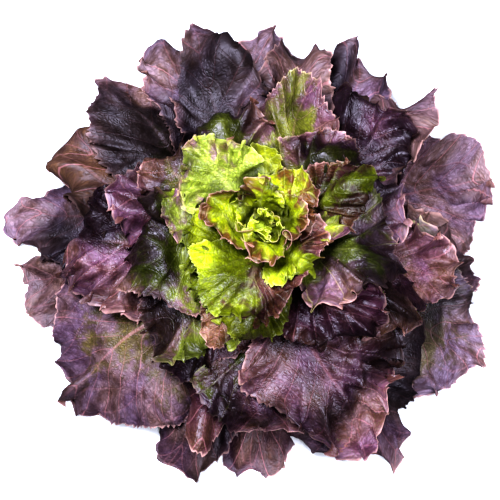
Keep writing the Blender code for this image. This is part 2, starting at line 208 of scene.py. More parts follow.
# Mesh of a fine blade: size of its cells in mm, how much coarser they are near the root, how they
# crowd to the margin, and from where along the blade the margin has teeth.
CELL = by_kind(1.40, 1.25, 0.80, 0.65)
ROOT_COARSENESS = 2.8
MARGIN_CROWDING = 1.15
TEETH_FROM = 0.25

# How round the far corners of a blade are: 2 for an ellipse, more for squarer corners.
CORNER_POWER = 2.0

# Random draws start from these. Each leaf has its own, and BLADE_SEED goes on by SEED_STEP a leaf.
PHASE_SEED = 1000
BLADE_SEED = 7000
SEED_STEP = 20
EAST_SEED = 91
NORTH_SEED = 92

# One smooth warp of space moves all leaves together, so that it makes none cut another: small
# drifts, and the head's outline pushed out or drawn in, in mm for every 10 degrees from +X.
DRIFT = 5.0 * MM
DRIFT_SIZE = 34 * MM
OUTLINE_CENTRE = (-7.4 * MM, 7.0 * MM)
OUTLINE_SHIFT = [
    -1, -4, -7, 5, -4, 3, 4, 2, 5, 1, 3, 9, -5, 1, 9, 11, 14, -1,
    -2, 4, 3, 3, -4, -1, 0, 3, 3, -4, 0, 15, 11, -1, 4, 4, -3, 1,
]
OUTLINE_REACH = (80 * MM, 135 * MM)

# Veins: distance in mm between side veins at the midrib, how steeply the lowest leave it and how
# much more steeply the highest do, and distance between the small veins that tie them.
SIDE_VEIN_GAP = by_kind(15.0, 12.0, 7.5, 5.0)
SIDE_VEIN_SLOPE = 0.45
SIDE_VEIN_FAN = 1.5
TIE_GAP = by_kind(7.5, 6.5, 4.5, 3.0)

# Size of ruffles, lobes and teeth against an outer leaf's, and in mm the height of the broad folds
# and how far the blade has grown past its solid's margin.
FINENESS = by_kind(1.0, 0.85, 0.48, 0.34)
BILLOW = by_kind(5.0, 5.5, 4.0, 2.0)
GROWTH = by_kind(9.0, 5.0, 1.5, 0.0)

# How much redder a blade is at its tip, on its puffs and at its margin.
REDDER_TIP = by_kind(0.9, 0.8, 0.35, 0.2)
REDDER_PUFFS = by_kind(0.10, 0.16, 0.16, 0.1)
REDDER_MARGIN = by_kind(0.30, 0.30, 0.12, 0.15)

# Colours. A red part lies between PURPLE and BROWN, under a lilac waxy bloom that is partly a
# painted sheen. A green part goes from OLIVE over GREEN to YELLOW_GREEN as it is fresher, under a
# veil of GREY_GREEN or MINT.
PURPLE = by_kind(
    (0.078, 0.033, 0.060), (0.108, 0.028, 0.056), (0.135, 0.032, 0.042), (0.170, 0.042, 0.030)
)
BROWN = by_kind(
    (0.135, 0.066, 0.034), (0.140, 0.060, 0.020), (0.185, 0.078, 0.014), (0.250, 0.100, 0.012)
)
# Lilac bloom: partly waxy bloom and partly a painted sheen, laid over the red part in patches.
BLOOM_AND_PAINTED_SHEEN = (0.175, 0.152, 0.230)
OLIVE = (0.085, 0.062, 0.006)
GREEN = (0.165, 0.180, 0.004)
YELLOW_GREEN = (0.36, 0.44, 0.006)
GREY_GREEN = (0.13, 0.115, 0.095)
MINT = (0.27, 0.38, 0.08)
PINK = (0.40, 0.165, 0.190)
RIM_PINK = (0.52, 0.31, 0.29)
PALE_GREEN = (0.52, 0.56, 0.16)
FLESH = (0.62, 0.66, 0.36)
PALE_FLESH = (0.74, 0.74, 0.50)
CUT_BROWN = (0.42, 0.30, 0.14)
SHOOT_GREEN = (0.36, 0.46, 0.03)
LILAC = (0.88, 0.82, 1.0, 1)
WHITE = (1, 1, 1, 1)

# Finish by kind of leaf: roughness of its smooth and rough patches, strength and tint of its gloss,
# light let in under its skin, mm from the margin over which the pale rim fades, how dark the
# painted shade makes the deepest gaps, which see least sky, and how strongly the side veins show,
# which thin out over HALF_WIDTH_MM.
ROUGHNESS = by_kind((0.46, 0.60), (0.32, 0.50), (0.34, 0.48), (0.34, 0.48))
GLOSS = by_kind(0.40, 0.36, 0.28, 0.28)
TINT = by_kind(LILAC, LILAC, WHITE, WHITE)
UNDER_SKIN = by_kind(0.0, 0.05, 0.15, 0.15)
RIM = by_kind((0.10, 0.80), (0.10, 0.80), (0.05, 0.55), (0.03, 0.35))
DEEPEST_PAINTED_SHADE = by_kind(0.09, 0.08, 0.18, 0.18)
SIDE_VEIN_SHARE = by_kind(0.40, 0.36, 0.24, 0.20)
HALF_WIDTH_MM = 45.0

# The photograph's view, from high in front of the head, and the room's own light.
CAMERA_TARGET = Vector((-0.006, -0.0028, 0.03))
CAMERA_DISTANCE = 1.3
CAMERA_ELEVATION = math.radians(77)
CAMERA_VIEW_WIDTH = 0.308
SENSOR_MM = 36
ROOM_LIGHT = 0.045


def smooth(low, high, x):
    """0 below low, 1 above high, and an even rise between them."""
    t = np.clip((x - low) / (high - low), 0, 1)
    return t * t * (3 - 2 * t)


def noise(x, y, seed):
    """Smooth noise from -1 to 1 over the plane, with features about one unit wide."""
    size = 64
    lattice = np.random.default_rng(seed).uniform(-1, 1, (size, size))
    column, row = np.floor(x).astype(int), np.floor(y).astype(int)
    s, t = x - column, y - row
    s, t = s * s * (3 - 2 * s), t * t * (3 - 2 * t)
    left, right = column % size, (column + 1) % size
    low, high = row % size, (row + 1) % size
    below = lattice[low, left] * (1 - s) + lattice[low, right] * s
    above = lattice[high, left] * (1 - s) + lattice[high, right] * s
    return below * (1 - t) + above * t


def stem_radius(z):
    """Radius of the stem at the height z."""
    heights = [h * MM for _, h in STEM_OUTLINE[-2::-1]]
    radii = [r * MM for r, _ in STEM_OUTLINE[-2::-1]]
    return np.interp(z, heights, radii, right=0.0)


def width_share(u):
    """Width of a flat leaf as a share of its widest."""
    return PETIOLE_SHARE + (1 - PETIOLE_SHARE) * smooth(0.05, 0.62, u)


class Form:
    """The shape of one leaf's solid before it was laid on the others."""

    def __init__(self, leaf, rank):
        self.leaf = leaf
        self.rank = rank
        self.share = rank / (len(LEAVES) - 1)
        self.phases = np.random.default_rng(PHASE_SEED + rank).uniform(0, 2 * math.pi, 6)
        self.trace_bowl()

    def trace_bowl(self):
        """The bowl's outline as radius, height and slope at distances run from the stem."""
        shares, *columns = np.array(BOWLS).T
        rise, end_r, end_z, dip = (np.interp(self.share, shares, column) for column in columns)
        root_z = FIRST_ROOT + (LAST_ROOT - FIRST_ROOT) * self.share
        start = np.array([float(stem_radius(root_z)) + ROOT_GAP, root_z])
        end = np.array([end_r, end_z]) * MM
        handle = 0.38 * np.linalg.norm(end - start)
        rise, dip = math.radians(rise), math.radians(dip)
        first = start + handle * np.array([math.cos(rise), math.sin(rise)])
        second = end - handle * np.array([math.cos(dip), math.sin(dip)])
        t = np.linspace(0, 1.3, 131)[:, None]
        line = (1 - t) ** 3 * start + 3 * (1 - t) ** 2 * t * first
        line += 3 * (1 - t) * t**2 * second + t**3 * end
        steps = np.diff(line, axis=0)
        self.run = np.concatenate([[0], np.cumsum(np.hypot(*steps.T))])
        self.radius, self.rise_z = line[:, 0], line[:, 1]
        up, out = np.gradient(self.rise_z, self.run), np.gradient(self.radius, self.run)
        self.slope = np.arctan2(up, out)
        past = np.nonzero(self.radius >= self.leaf.reach * MM)[0]
        last = past[0] if len(past) else len(self.run) - 1
        self.length = float(self.run[last])

    def round_middle(self, u, v):
        """Angle about the blade's middle, and closeness to the margin from 0 to 1."""
        b = (u - MIDDLE) / MIDDLE_REACH
        close = (np.abs(v) ** 4 + np.clip(b, 0, None) ** 4) ** 0.25
        return np.arctan2(v, b), np.clip(close, 0, 1)

    def flat(self, u, v):
        """Distances across and along the leaf laid flat."""
        width = self.leaf.width * MM
        across = v * width / 2 * width_share(u) * (1 - 0.10 * smooth(0.7, 1.0, u))
        along = self.length * u * (1 - TIP_ROUNDING * smooth(0.15, 1, u) * np.abs(v) ** 2.3)
        angle, close = self.round_middle(u, v)
        lobe = LOBE_SHARE * width * close**3 * np.sin(6.5 * angle + self.phases[0])
        lobe = lobe * smooth(0.2, 0.5, u)
        return across + lobe * np.sin(angle), along + lobe * np.cos(angle)

    def height(self, u, v):
        """How far the leaf stands over its bowl."""
        leaf, p = self.leaf, self.phases
        angle, close = self.round_middle(u, v)
        uneven = 0.7 + 0.45 * np.sin(1.3 * angle + p[1])
        fold = leaf.fold * close * np.sin(3.1 * angle + p[2]) * smooth(0.3, 0.7, u)
        wave = uneven * np.sin(7.6 * angle + 0.8 * np.sin(2 * angle + p[3]) + p[4])
        wave = leaf.wave * wave * close**2.2 * smooth(0.35, 0.75, u)
        cup = leaf.cup * v**2 * smooth(0.2, 0.6, u)
        return (fold + wave + cup + leaf.tip * smooth(0.5, 1.0, u) ** 2) * MM

    def place(self, u, v):
        """Points of the upper face, and the way along which each was lifted off the bowl."""
        across, along = self.flat(u, v)
        slope = np.interp(along, self.run, self.slope)
        level = np.maximum(np.cos(slope), 0.08)
        apart = np.interp(along, self.run, self.radius) / level
        onward = (np.hypot(apart, across) - apart) * smooth(0, 0.2, u)
        turn = math.radians(self.leaf.azimuth) + np.arctan2(across, apart) / level
        run = along + onward
        radius = np.interp(run, self.run, self.radius)
        z = np.interp(run, self.run, self.rise_z)
        slope = np.interp(run, self.run, self.slope)
        beyond = np.maximum(run - self.run[-1], 0)
        radius, z = radius + beyond * np.cos(slope), z + beyond * np.sin(slope)
        radial = np.column_stack([np.cos(turn), np.sin(turn), np.zeros(len(u))])
        way = -radial * np.sin(slope)[:, None] + np.array([0, 0, 1]) * np.cos(slope)[:, None]
        points = radial * radius[:, None] + np.array([0, 0, 1]) * z[:, None]
        return points + way * self.height(u, v)[:, None], way


def tree_of(mesh):
    """The faces of a mesh, for looking along rays."""
    faces = [tuple(p.vertices) for p in mesh.polygons]
    return BVHTree.FromPolygons([v.co for v in mesh.vertices], faces)


def distance(tree, start, way, reach):
    """Distance along a ray to the first face within its reach, or None."""
    return tree.ray_cast(Vector(start), Vector(way), reach)[3]


def neighbours(values, **padding):
    """A grid shifted by one step or none each way, with padding round it."""
    padded = np.pad(values, 1, **padding)
    rows, columns = values.shape
    return [padded[i : i + rows, j : j + columns] for i in range(3) for j in range(3)]


def blurred(values):
    """Each value averaged with those next to it."""
    return sum(neighbours(values, mode="edge")) / 9


def spread_out(values):
    """The largest value next to each one, softened."""
    return blurred(np.max(neighbours(values, mode="edge"), axis=0))


def filled(lifts):
    """Lifts with each missing one taken from its neighbours."""
    lifts = lifts.copy()
    while np.isnan(lifts).any():
        around = neighbours(lifts, constant_values=np.nan)
        known = np.array([np.where(np.isnan(a), 0, a) for a in around])
        count = np.array([~np.isnan(a) for a in around]).sum(0)
        mean = known.sum(0) / np.maximum(count, 1)
        missing = np.isnan(lifts) & (count > 0)
        if not missing.any():
            return np.nan_to_num(lifts)
        lifts[missing] = mean[missing]
    return lifts


def solid_corners(form, mesh):
    """The corners of a solid's upper face as a grid, and the ways along which they rose."""
    leaf = form.leaf
    rows = ROWS[leaf.kind]
    columns = min(max(2 * round(leaf.width / WIDEST_COLUMN / 2), 4), 8)
    row_places = (np.arange(rows + 1) / rows) ** ROW_CROWDING
    u, v = np.meshgrid(row_places, np.linspace(-1, 1, columns + 1), indexing="ij")
    shape = u.shape
    inner_u, inner_v = np.clip(u, 0.01, 0.99).ravel(), np.clip(v, -0.98, 0.98).ravel()
    points, ways = form.place(inner_u, inner_v)
    tree = tree_of(mesh)
    lifts = np.full(len(points), np.nan)
    for k, (p, w) in enumerate(zip(points, ways)):
        inward = max(math.hypot(w[0], w[1]), 1e-3)
        look = min(LOOK, math.hypot(p[0], p[1]) / inward)
        far = distance(tree, p + w * look, -w, look + LOOK / 4)
        if far is not None:
            lifts[k] = look - far
    lifts = filled(lifts.reshape(shape)).ravel()
    points, ways = form.place(u.ravel(), v.ravel())
    points = points + ways * lifts[:, None]
    return points.reshape(*shape, 3), ways.reshape(*shape, 3)


def cubic_weights(at, count):
    """The four grid lines round each place on a line of count points, and their weights."""
    low = np.clip(np.floor(at).astype(int), 0, count - 2)
    t = at - low
    weights = np.stack([
        -0.5 * t + t**2 - 0.5 * t**3,
        1 - 2.5 * t**2 + 1.5 * t**3,
        0.5 * t + 2 * t**2 - 1.5 * t**3,
        -0.5 * t**2 + 0.5 * t**3,
    ])
    lines = np.stack([low - 1, low, low + 1, low + 2])
    return lines, weights


def between(grid, a, b):
    """The grid's values at the places (a, b), on a smooth surface through its points."""
    padding = [(1, 1), (1, 1)] + [(0, 0)] * (grid.ndim - 2)
    grid = np.pad(grid, padding, mode="reflect", reflect_type="odd")
    rows, row_weights = cubic_weights(a, grid.shape[0] - 2)
    columns, column_weights = cubic_weights(b, grid.shape[1] - 2)
    extra = (slice(None),) + (None,) * (grid.ndim - 2)
    total = 0
    for i in range(4):
        for j in range(4):
            weight = (row_weights[i] * column_weights[j])[extra]
            total = total + weight * grid[rows[i] + 1, columns[j] + 1]
    return total


def grid_faces(rows, columns):
    """The faces of a grid of points, row by row."""
    at = np.arange(rows * columns).reshape(rows, columns)
    quads = np.stack([at[:-1, :-1], at[1:, :-1], at[1:, 1:], at[:-1, 1:]], axis=-1)
    return quads.reshape(-1, 4)


def unit(vectors):
    """Vectors brought to length 1."""
    return vectors / np.maximum(np.linalg.norm(vectors, axis=-1, keepdims=True), 1e-9)


def grid_normals(points):
    """Unit normals of a grid of points, and its unit directions along and across."""
    along = np.gradient(points, axis=0)
    across = np.gradient(points, axis=1)
    return unit(np.cross(across, along)), unit(along), unit(across)


def blade_thickness(form, u, v):
    """Thickness of the fine blade: thinnest at its margin, thickest on its rib."""
    across, _ = form.flat(u, v)
    edge = MARGIN + (BLADE - MARGIN) * smooth(0, 0.25, np.minimum(1 - np.abs(v), (1 - u) * 1.5))
    rib = RIBS[form.leaf.kind]
    return edge + (rib - BLADE) * (1 - u) ** 1.3 * np.exp(-((across / RIB_HALF_WIDTH) ** 2))


class Surface:
    """The smooth surface of one leaf, as a grid between the corners of its solid."""

    def __init__(self, form, mesh):
        corners, ways = solid_corners(form, mesh)
        self.form = form
        self.rows, self.columns = corners.shape[0] - 1, corners.shape[1] - 1
        places = [np.arange(count * STEPS + 1) / STEPS for count in (self.rows, self.columns)]
        a, b = np.meshgrid(*places, indexing="ij")
        self.u = (a / self.rows) ** ROW_CROWDING
        self.v = 2 * b / self.columns - 1
        shape = (*a.shape, 3)
        self.points = between(corners, a.ravel(), b.ravel()).reshape(shape)
        self.ways = unit(between(ways, a.ravel(), b.ravel())).reshape(shape)
        self.thick = blade_thickness(form, self.u, self.v)
        self.clear_floor_and_stem()

    def clear_floor_and_stem(self):
        """Moves the points off the floor and out of the stem."""
        points = self.points
        radius = np.maximum(np.hypot(points[..., 0], points[..., 1]), 1e-6)
        beside = points[..., 2] < STEM_OUTLINE[0][1] * MM
        wall = np.where(beside, stem_radius(points[..., 2]) + ROOT_GAP, 0)
        points[..., :2] *= (np.maximum(radius, wall) / radius)[..., None]
        points[..., 2] = np.maximum(points[..., 2], FLOOR_GAP + self.thick)

    def lay_on(self, tree):
        """Lifts the surface wherever it would cut into the leaves in the tree."""
        for _ in range(LIFT_ROUNDS):
            lifts = np.zeros(self.u.shape)
            for place in np.ndindex(self.u.shape):
                p, w = self.points[place], self.ways[place]
                look = min(LOOK / 3, math.hypot(p[0], p[1]) / max(math.hypot(w[0], w[1]), 1e-3))
                room = self.thick[place] + GAP
                far = distance(tree, p + w * look, -w, look + room)
                if far is not None:
                    lifts[place] = look + room - far
            if not lifts.any():
                return
            self.points += self.ways * spread_out(lifts)[..., None]
            self.clear_floor_and_stem()

    def look_round(self, tree):
        """Room over and under each point, and the share of the sky that it sees."""
        self.normals, self.along, self.across = grid_normals(self.points)
        self.over, self.under, self.sky = (np.zeros(self.u.shape) for _ in range(3))
        for place in np.ndindex(self.u.shape):
            p, n = self.points[place], self.normals[place]
            low = p - n * (self.thick[place] + RAY_START)
            for room, start, way in ((self.over, p + n * RAY_START, n), (self.under, low, -n)):
                far = distance(tree, start, way, MOST_ROOM)
                room[place] = MOST_ROOM if far is None else far
            high = p + n * 5 * RAY_START
            seen = [distance(tree, high, n + ray, SKY) is None for ray in SKY_RAYS]
            self.sky[place] = sum(seen) / len(seen)
        self.over = -spread_out(-self.over)
        self.under = -spread_out(-self.under)
        self.sky = blurred(self.sky)


def surfaces_of(frame):
    """The smooth surfaces of all leaves, laid on each other from the lowest to the bud."""
    counts = collections.Counter()
    surfaces = {}
    points, faces = [], []
    for rank, leaf in enumerate(LEAVES):
        counts[leaf.kind] += 1
        name = f"{leaf.kind}_leaf_{counts[leaf.kind]:02d}"
        surface = Surface(Form(leaf, rank), frame["nodes"][name].data)
        surface.lay_on(BVHTree.FromPolygons(points, faces))
        surfaces[name] = surface
        faces += [tuple(f) for f in (grid_faces(*surface.u.shape) + len(points)).tolist()]
        points += [tuple(p) for p in surface.points.reshape(-1, 3).tolist()]
    tree = BVHTree.FromPolygons(points, faces)
    for surface in surfaces.values():
        surface.look_round(tree)
    return surfaces


def row_places(form):
    """Where the rows of the fine mesh lie, in shares of the leaf's length, crowded to the tip."""
    u = np.linspace(0, 1, 400)
    density = 1 / ROOT_COARSENESS + (1 - 1 / ROOT_COARSENESS) * smooth(0.30, 0.62, u)
    run = np.concatenate([[0], np.cumsum((density[1:] + density[:-1]) / 2 * np.diff(u))])
    count = max(int(run[-1] * form.length / MM / CELL[form.leaf.kind]), 12)
    return np.interp(np.linspace(0, run[-1], count + 1), run, u)


def fine_grid(form):
    """A flat mesh of (u, v), finer along its margin, with its faces and margin edges."""
    u_places = row_places(form)
    columns = max(2 * int(form.leaf.width / CELL[form.leaf.kind] / 2), 10)
    bm = bmesh.new()
    bmesh.ops.create_grid(bm, x_segments=len(u_places) - 1, y_segments=columns, size=0.5)
    for vert in bm.verts:
        row = round((vert.co.x + 0.5) * (len(u_places) - 1))
        side = 2 * vert.co.y
        vert.co = (u_places[row], math.copysign(1 - (1 - abs(side)) ** MARGIN_CROWDING, side), 0)
    toothed = [e for e in bm.edges if e.is_boundary and max(w.co.x for w in e.verts) > TEETH_FROM]
    bmesh.ops.subdivide_edges(bm, edges=toothed, cuts=1)
    bmesh.ops.triangulate(bm, faces=[f for f in bm.faces if len(f.verts) > 4])
    bm.verts.index_update()
    u, v = (np.array([w.co[k] for w in bm.verts]) for k in (0, 1))
    faces = [[w.index for w in f.verts] for f in bm.faces]
    margin = []
    for edge in bm.edges:
        if edge.is_boundary:
            loop = edge.link_loops[0]
            margin.append((loop.vert.index, loop.link_loop_next.vert.index))
    bm.free()
    return np.clip(u, 0, 1), np.clip(v, -1, 1), faces, margin


def rounded(u, v):
    """Places on the blade moved in from its two far corners, so that its outline is round there."""
    b = np.clip((u - MIDDLE) / MIDDLE_REACH, 0, None)
    largest = np.maximum(b, np.abs(v))
    round_reach = (b**CORNER_POWER + np.abs(v) ** CORNER_POWER) ** (1 / CORNER_POWER)
    share = np.where(largest > 0, largest / np.maximum(round_reach, 1e-6), 1)
    return np.where(u > MIDDLE, MIDDLE + MIDDLE_REACH * b * share, u), v * share


class Blade:
    """The fine shape of one leaf, from measures at each of its points."""

    def __init__(self, surface):
        self.surface, self.form = surface, surface.form
        self.leaf = self.form.leaf
        self.seed = BLADE_SEED + SEED_STEP * self.form.rank
        self.fineness = FINENESS[self.leaf.kind]
        self.u, self.v, self.faces, self.margin = fine_grid(self.form)
        inner_u, inner_v = rounded(self.u, self.v)
        self.a = surface.rows * inner_u ** (1 / ROW_CROWDING) * STEPS
        self.b = surface.columns * (inner_v + 1) / 2 * STEPS
        across, along = self.form.flat(inner_u, inner_v)
        self.x, self.y = across / MM, along / MM
        self.angle, _ = self.form.round_middle(self.u, self.v)
        self.measure_margin()
        self.measure_veins()
        self.over = np.maximum(self.spread(surface.over), 0) / MM
        self.under = np.maximum(self.spread(surface.under), 0) / MM
        self.sky = np.clip(self.spread(surface.sky), 0, 1)

    def spread(self, grid):
        """Values of the smooth surface's grid at the blade's points."""
        return between(grid, self.a, self.b)

    def patches(self, size, draw, right=0, up=0):
        """Smooth noise over the flat blade, with features about size mm wide."""
        return noise(self.x / size + right, self.y / size + up, self.seed + draw)

    def along_margin(self, size, draw, start=0, row=0):
        """Smooth noise along the margin, with features about size mm long."""
        return noise(self.run / size + start, 0 * self.run + row, self.seed + draw)

    def measure_margin(self):
        """Distance in mm to the margin, and the place along it of its nearest point."""
        side = (1 - np.abs(self.v)) * (self.leaf.width / 2 * width_share(self.u))
        tip = (1 - self.u) * self.form.length / MM
        low = np.minimum(side, tip)
        self.inset = low - 2.5 * np.exp(-np.abs(side - tip) / 5.0) * smooth(0, 6, low)
        self.inset = np.maximum(self.inset, 0)
        turns = np.linspace(-math.pi, math.pi, 721)
        square = np.maximum(np.abs(np.sin(turns)), np.abs(np.cos(turns)))
        b = MIDDLE_REACH * np.cos(turns) / square
        v = np.sin(turns) / square
        x, y = self.form.flat(np.clip(MIDDLE + b, 0, 1), v)
        run = np.concatenate([[0], np.cumsum(np.hypot(np.diff(x), np.diff(y)))]) / MM
        self.run = np.interp(self.angle, turns, run - run[360])

    def measure_veins(self):
        """Counts that pass a half at each side vein and a whole at each tie, and the puffs."""
        wander = 0.22 * self.patches(26, 1, right=9)
        wander = wander + 0.06 * self.patches(8, 14, up=6)
        aside = np.sqrt(self.x**2 + 4)
        fan = 1 + SIDE_VEIN_FAN * aside * MM / self.form.length
        source = (self.y - SIDE_VEIN_SLOPE * aside) / fan
        self.vein = source / SIDE_VEIN_GAP[self.leaf.kind] + wander
        tie_wander = 0.4 * self.patches(14, 12, right=3)
        self.tie = aside / TIE_GAP[self.leaf.kind] + 0.5 * self.vein + tie_wander
        self.rows = np.abs(np.sin(math.pi * (self.vein + 0.5)))
        ties = np.abs(np.sin(math.pi * self.tie))
        self.pillow = self.rows**0.6 * (0.30 + 0.70 * ties**0.6)

    def billows(self):
        """Broad folds of the whole blade, in mm."""
        fold = noise(self.x / 30 + 4, self.y / 24, self.seed + 13)
        fold = fold + 0.45 * self.patches(12, 15, up=8)
        return BILLOW[self.leaf.kind] * (fold + 0.3) * smooth(0.25, 0.5, self.u)

    def blisters(self):
        """Puffs between the veins and pleats along them, in mm."""
        fine = np.abs(self.patches(4.6, 3, right=5))
        strength = 0.35 + 1.0 * smooth(-0.4, 0.6, self.patches(22, 10, right=2))
        puff = self.leaf.blister * (1.5 * self.pillow * strength + 0.6 * fine)
        pleat = self.leaf.pleat * (self.rows - 0.3) * smooth(0.05, 0.6, np.abs(self.v))
        midrib = 1 - np.exp(-((self.x / 4.5) ** 2))
        inner = smooth(0, 6, self.inset) * 0.8 + 0.2
        return (puff * inner + pleat) * midrib * smooth(0.2, 0.5, self.u)

    def ruffles(self):
        """Waves along the margin in mm, finer towards it, and their lean along the margin."""
        run, inset, size = self.run, self.inset, self.fineness
        reach = min(self.leaf.width * 0.34, 30)
        warp = 8 * size * self.along_margin(30, 4)
        phase = 2 * math.pi * (run + warp) / (23 * size)
        near_phase = 2 * math.pi * (run + 1.7 * warp) / (9.5 * size) + 1
        wide = (1 - smooth(0, reach, inset)) ** 1.2
        near = (1 - smooth(0, reach / 2.5, inset)) ** 1.5
        uneven = np.clip(0.9 + 0.9 * self.along_margin(24, 5, start=3), 0.15, 1.7)
        raised = 0.25 + 0.75 * (1 - smooth(0.5, 5, self.under))
        grown = 1.5 * self.leaf.ruffle * uneven * smooth(0.28, 0.55, self.u)
        rise = grown * (wide * (np.sin(phase) + raised) + 0.42 * near * np.sin(near_phase))
        lean = -0.6 * grown * near * np.sin(2 * phase)
        return rise, lean

    def lobes(self):
        """How far the margin bulges out or is notched, in mm."""
        size = self.fineness
        broad = self.along_margin(30 * size, 16, row=3.5)
        drift = self.along_margin(12 * size, 11, row=1.5)
        sharp = drift - 0.8 * np.clip(-drift - 0.25, 0, 1)
        lobe = GROWTH[self.leaf.kind] + (2.0 * sharp + 4.0 * broad) * size
        return lobe * (1 - smooth(0, 20 * size, self.inset)) * smooth(0.3, 0.5, self.u)

    def creases(self):
        """The sunken lines of the midrib and the side veins, in mm."""
        gap = SIDE_VEIN_GAP[self.leaf.kind]
        across = np.abs(self.vein - np.floor(self.vein) - 0.5) * gap
        side = np.exp(-((across / 1.3) ** 2)) * (1 - smooth(0.5, 1.0, np.abs(self.v)))
        mid = np.exp(-((self.x / 1.8) ** 2)) * (1 - smooth(0.6, 1.0, self.u))
        return -0.45 * np.maximum(side, 1.3 * mid) * smooth(0.15, 0.4, self.u)

    def teeth(self):
        """How far the margin stands out in its teeth, in mm."""
        rng = np.random.default_rng(self.seed + 6)
        size = self.fineness**0.7
        ends = np.cumsum(rng.uniform(2.0, 6.0, 500) * size) - 560 * size
        heights = rng.uniform(0.8, 3.2, 500) * size
        index = np.clip(np.searchsorted(ends, self.run), 1, len(ends) - 1)
        low, high = ends[index - 1], ends[index]
        share = (self.run - low) / (high - low)
        share = np.where(self.run > 0, 1 - share, share)
        shape = np.where(share < 0.72, share / 0.72, (1 - share) / 0.28)
        return heights[index] * shape * (self.inset < 0.05) * smooth(0.25, 0.4, self.u)

    def shape(self):
        """The points of the upper face in metres."""
        surface = self.surface
        base = self.spread(surface.points)
        normal = unit(self.spread(surface.normals))
        along = unit(self.spread(surface.along))
        across = unit(self.spread(surface.across))
        sin, cos = np.sin(self.angle)[:, None], np.cos(self.angle)[:, None]
        out = unit(across * sin + along * cos)
        tangent = np.cross(normal, out)
        free = smooth(1.0, 6 * self.fineness, self.over)
        turn, lift, draw = (part[:, None] for part in self.curls(free))
        normal_turned = normal * np.cos(turn) - out * np.sin(turn)
        out_turned = out * np.cos(turn) + normal * np.sin(turn)
        ruffle, lean = self.ruffles()
        rise = self.within_room(self.billows() + self.blisters() + self.creases())
        wave = self.within_room(ruffle)
        offset = normal * (rise[:, None] + lift) + normal_turned * wave[:, None] + out * draw
        outward = out_turned * (self.teeth() + self.lobes() * free)[:, None]
        offset += outward + tangent * (lean * free)[:, None]
        points = base + offset * MM
        points[:, 2] = np.maximum(points[:, 2], FLOOR_GAP + MARGIN)
        return points

    def within_room(self, rise):
        """A rise in mm kept within the room over and under the leaf."""
        up, down = np.maximum(0.45 * self.over, 1e-3), np.maximum(0.45 * self.under, 1e-3)
        return np.where(rise > 0, up * np.tanh(rise / up), down * np.tanh(rise / down))

    def curls(self, free):
        """Turn of the margin in radians, and how far that lifts it and draws it in, in mm."""
        wide = min(self.leaf.width * 0.20, 15)
        reach = np.clip(wide - self.inset, 0, None)
        strength = smooth(-0.45, 0.75, self.along_margin(26, 8, start=7))
        turn = 2.5 * self.leaf.curl * strength * smooth(0.3, 0.55, self.u) * free
        bend = np.maximum(turn / wide, 1e-5)
        angle = bend * reach
        return angle, (1 - np.cos(angle)) / bend, np.sin(angle) / bend - reach

    def redness(self):
        """How red the blade is: more towards its tip and margin, on its puffs and in the light."""
        leaf, kind = self.leaf, self.leaf.kind
        inward = self.inset / (leaf.width / 2)
        open_sky = smooth(0.15, 0.7, self.sky)
        drift = 0.20 * self.patches(22, 9, up=4)
        drift += 0.20 * self.patches(8, 17, right=4)
        level = leaf.red * 1.4 - 0.22 + drift + REDDER_TIP[kind] * (self.u - 0.66)
        level += 0.15 * (open_sky - 0.5)
        level += 0.5 * leaf.slant * self.v + REDDER_PUFFS[kind] * (self.pillow - 0.6)
        return np.clip(level + REDDER_MARGIN[kind] * (0.3 - inward), -0.3, 1.3)


def warped(points):
    """Points moved by the one smooth warp of space that all leaves share."""
    x, y, z = points.T
    east = noise(x / DRIFT_SIZE + 20, y / DRIFT_SIZE + z / DRIFT_SIZE, EAST_SEED)
    north = noise(x / DRIFT_SIZE + z / DRIFT_SIZE + 20, y / DRIFT_SIZE + 20, NORTH_SEED)
    loose = smooth(18 * MM, 40 * MM, np.hypot(x, y) + np.maximum(z - 82 * MM, 0) * 4)
    x, y = x + DRIFT * east * loose, y + DRIFT * north * loose
    off_x, off_y = x - OUTLINE_CENTRE[0], y - OUTLINE_CENTRE[1]
    far = np.maximum(np.hypot(off_x, off_y), 1e-6)
    turn = np.degrees(np.arctan2(off_y, off_x)) % 360
    shift = np.interp(turn, np.arange(37) * 10, OUTLINE_SHIFT + OUTLINE_SHIFT[:1]) * MM
    pull = shift * smooth(*OUTLINE_REACH, far) / far
    return np.column_stack([x + off_x * pull, y + off_y * pull, z])


def vertex_normals(points, faces):
    """Unit normals of a mesh's points."""
    normals = np.zeros_like(points)
    triangles = np.array([(f[0], f[i], f[i + 1]) for f in faces for i in range(1, len(f) - 1)])
    a, b, c = (points[triangles[:, k]] for k in range(3))
    areas = np.cross(b - a, c - a)
    for k in range(3):
        np.add.at(normals, triangles[:, k], areas)
    return normals / np.maximum(np.linalg.norm(normals, axis=1), 1e-12)[:, None]


def add_piece(name, points, faces, material, sharp_from):
    """A smooth-shaded object whose edges stay sharp from an angle in degrees."""
    mesh = bpy.data.meshes.new(name)
    mesh.from_pydata(points, [], faces)
    mesh.materials.append(material)
    mesh.shade_smooth()
    mesh.set_sharp_from_angle(angle=math.radians(sharp_from))
    piece = bpy.data.objects.new(name, mesh)
    bpy.context.scene.collection.objects.link(piece)
    return piece


def keep_attribute(mesh, name, *columns):
    """Three values for each point of a mesh, for its material to read."""
    attribute = mesh.attributes.new(name, "FLOAT_VECTOR", "POINT")
    attribute.data.foreach_set("vector", np.column_stack(columns).astype(np.float32).ravel())


